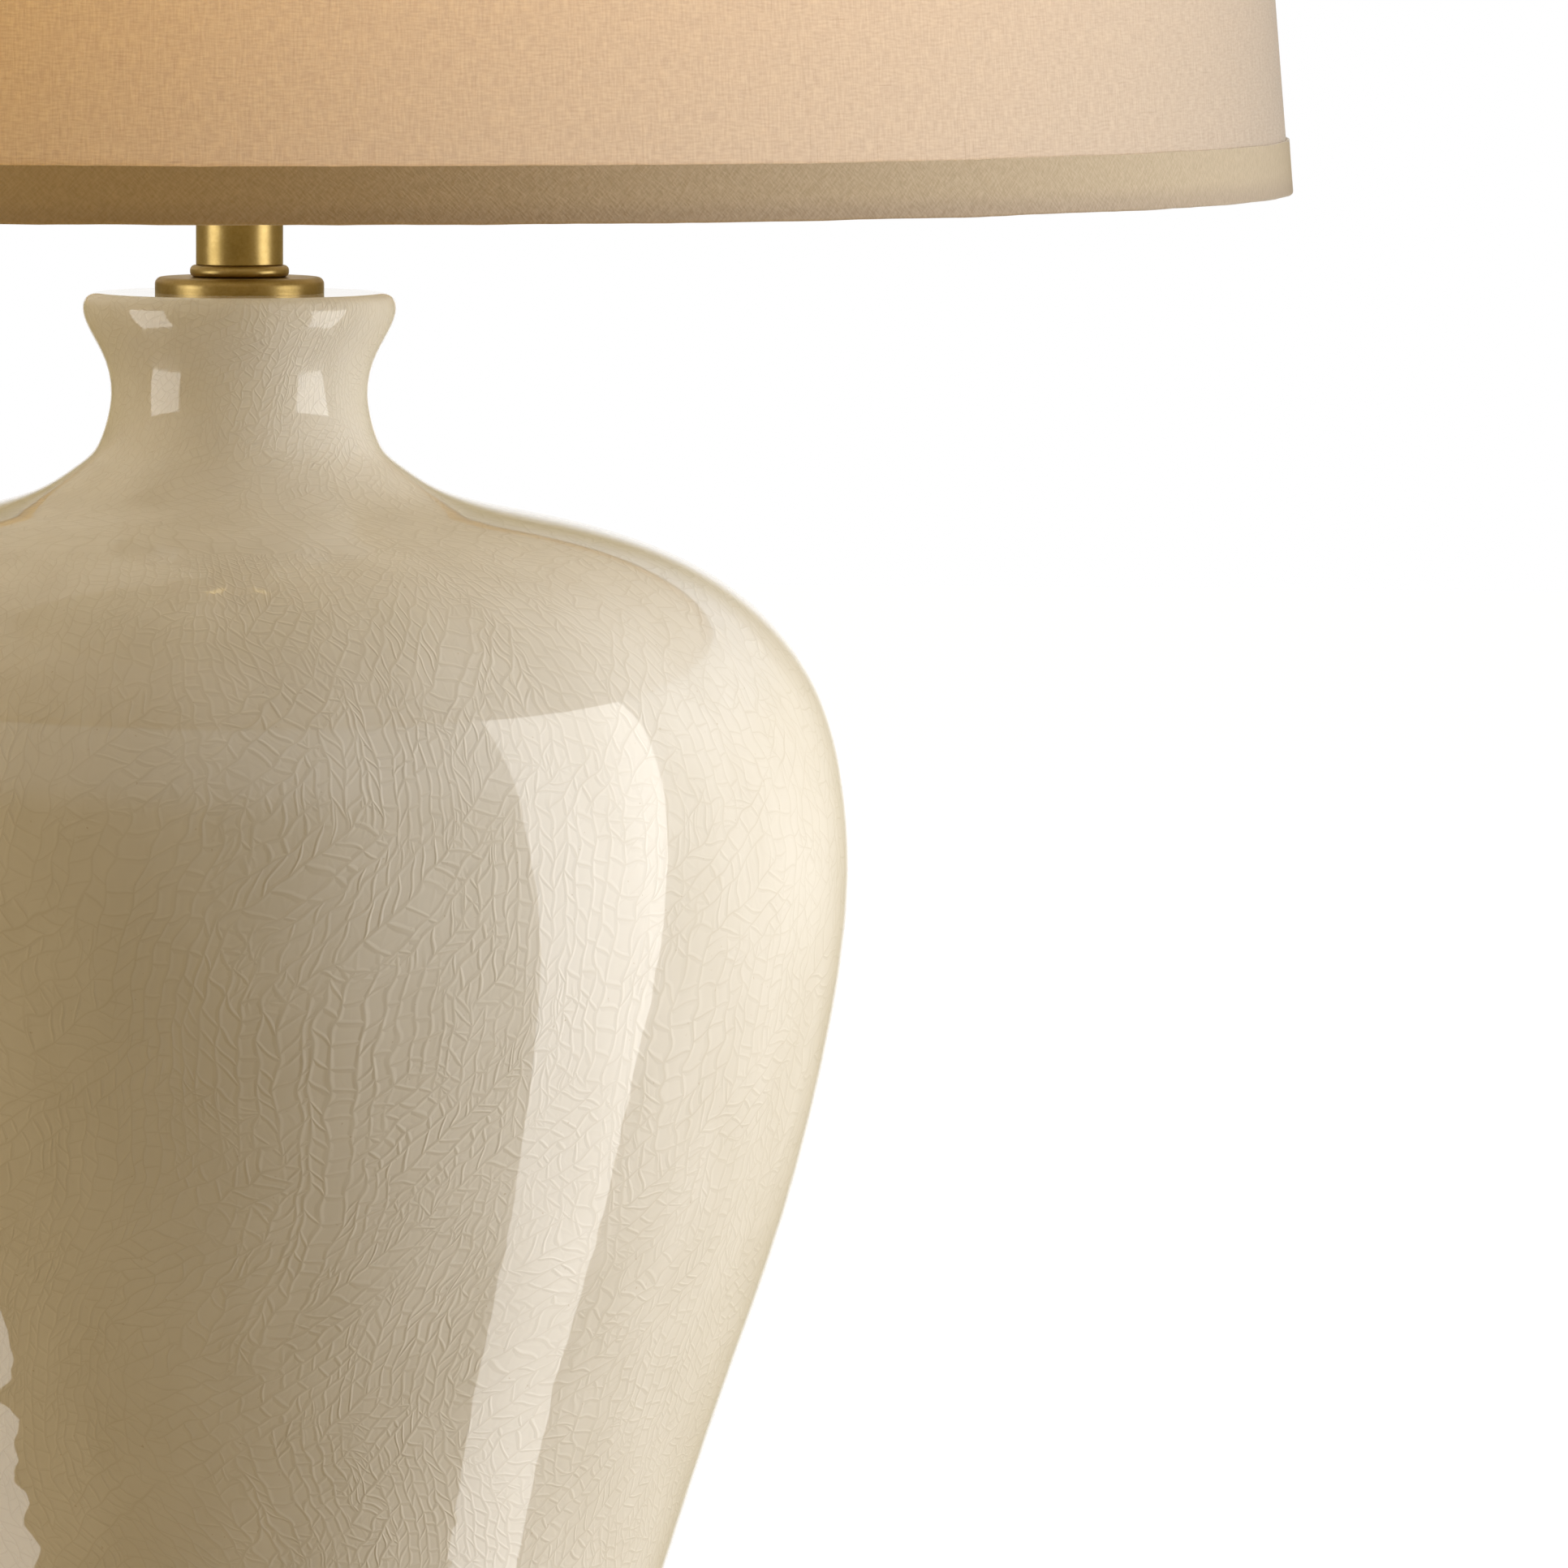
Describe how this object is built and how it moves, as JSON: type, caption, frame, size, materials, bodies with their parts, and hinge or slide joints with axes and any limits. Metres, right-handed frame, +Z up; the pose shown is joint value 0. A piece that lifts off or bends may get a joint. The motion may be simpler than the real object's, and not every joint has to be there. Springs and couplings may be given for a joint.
{
  "type": "table lamp",
  "caption": "Table lamp: urn-shaped crackle-glazed ceramic body on a round brass base, brass neck, and a tapered linen drum shade carried by a harp over a screw-in bulb.",
  "frame": {"origin": "centre of the base's underside, on the surface that the lamp stands on", "axes": "+Z up along the lamp's axis, -Y towards the viewer, where the switch knob is, +X to the viewer's right"},
  "size_m": [0.4586, 0.4586, 0.8251],
  "materials": {
    "felt": "matte",
    "antique_brass": "satin",
    "iron": "rough",
    "brown_plastic": "gloss",
    "steel": "satin",
    "glaze": "gloss",
    "rubber": "matte",
    "harp_metal": "satin",
    "socket_brass": "polished",
    "cardboard": "matte",
    "porcelain": "matte",
    "lead_insulation": "matte",
    "solder": "satin",
    "black_glass": "gloss",
    "bulb_glass": "frosted",
    "clear_glass": "clear",
    "filament": "matte",
    "linen": "woven",
    "shade_backing": "matte",
    "trim_tape": "woven",
    "white_wire": "gloss"
  },
  "bodies": {
    "lamp_body": {"felt_pad": "felt", "base_plate": "antique_brass", "base_weight": "iron", "cord_bushing": "brown_plastic", "rod_washer": "steel", "rod_nut": "steel", "threaded_rod": "steel", "ceramic_body": "glaze", "centering_grommet": "rubber", "vase_cap": "antique_brass", "seating_ring": "antique_brass", "neck_tube": "antique_brass", "neck_collar": "antique_brass", "harp_saddle": "harp_metal", "saddle_locknut": "steel", "socket_cap": "socket_brass", "socket_set_screw": "steel", "socket_shell": "socket_brass", "socket_liner": "cardboard", "socket_core": "porcelain", "screw_shell": "socket_brass", "centre_contact": "socket_brass", "terminal_screws": "socket_brass", "lead_wires": "lead_insulation"},
    "switch": {"switch_shaft": "steel", "switch_knob": "brown_plastic"},
    "bulb": {"bulb_contact": "solder", "bulb_insulator": "black_glass", "bulb_cap": "solder", "bulb_glass": "bulb_glass", "bulb_stem": "clear_glass", "bulb_supports": "steel", "bulb_filament": "filament"},
    "harp": {"harp_wire": "harp_metal", "harp_stud": "harp_metal"},
    "ferrule_left": {"harp_ferrule_left": "harp_metal"},
    "ferrule_right": {"harp_ferrule_right": "harp_metal"},
    "shade": {"shade_fabric": "linen", "shade_liner": "shade_backing", "shade_seam": "linen", "shade_trim_top": "trim_tape", "shade_trim_bottom": "trim_tape", "shade_ring_top": "white_wire", "shade_ring_bottom": "white_wire", "shade_spider": "harp_metal"},
    "finial_body": {"finial": "antique_brass"}
  },
  "joints": [
    {"name": "switch_turn", "type": "hinge", "parent": "lamp_body", "child": "switch", "pos_m": [0, -0.02, 0.55648], "axis": [0, -1, 0], "continuous": true},
    {"name": "bulb_turn", "type": "hinge", "parent": "lamp_body", "child": "bulb", "pos_m": [0, 0, 0.58], "axis": [0, 0, 1], "continuous": true},
    {"name": "harp_lift", "type": "slide", "parent": "lamp_body", "child": "harp", "axis": [0, 0, 1], "range_m": [0, 0.025]},
    {"name": "ferrule_left_slide", "type": "slide", "parent": "harp", "child": "ferrule_left", "axis": [0, 0, 1], "range_m": [0, 0.012]},
    {"name": "ferrule_right_slide", "type": "slide", "parent": "harp", "child": "ferrule_right", "axis": [0, 0, 1], "range_m": [0, 0.012]},
    {"name": "shade_turn", "type": "hinge", "parent": "harp", "child": "shade", "pos_m": [0, 0, 0.7805], "axis": [0, 0, 1], "continuous": true},
    {"name": "finial_turn", "type": "hinge", "parent": "harp", "child": "finial_body", "pos_m": [0, 0, 0.7821], "axis": [0, 0, 1], "continuous": true}
  ]
}
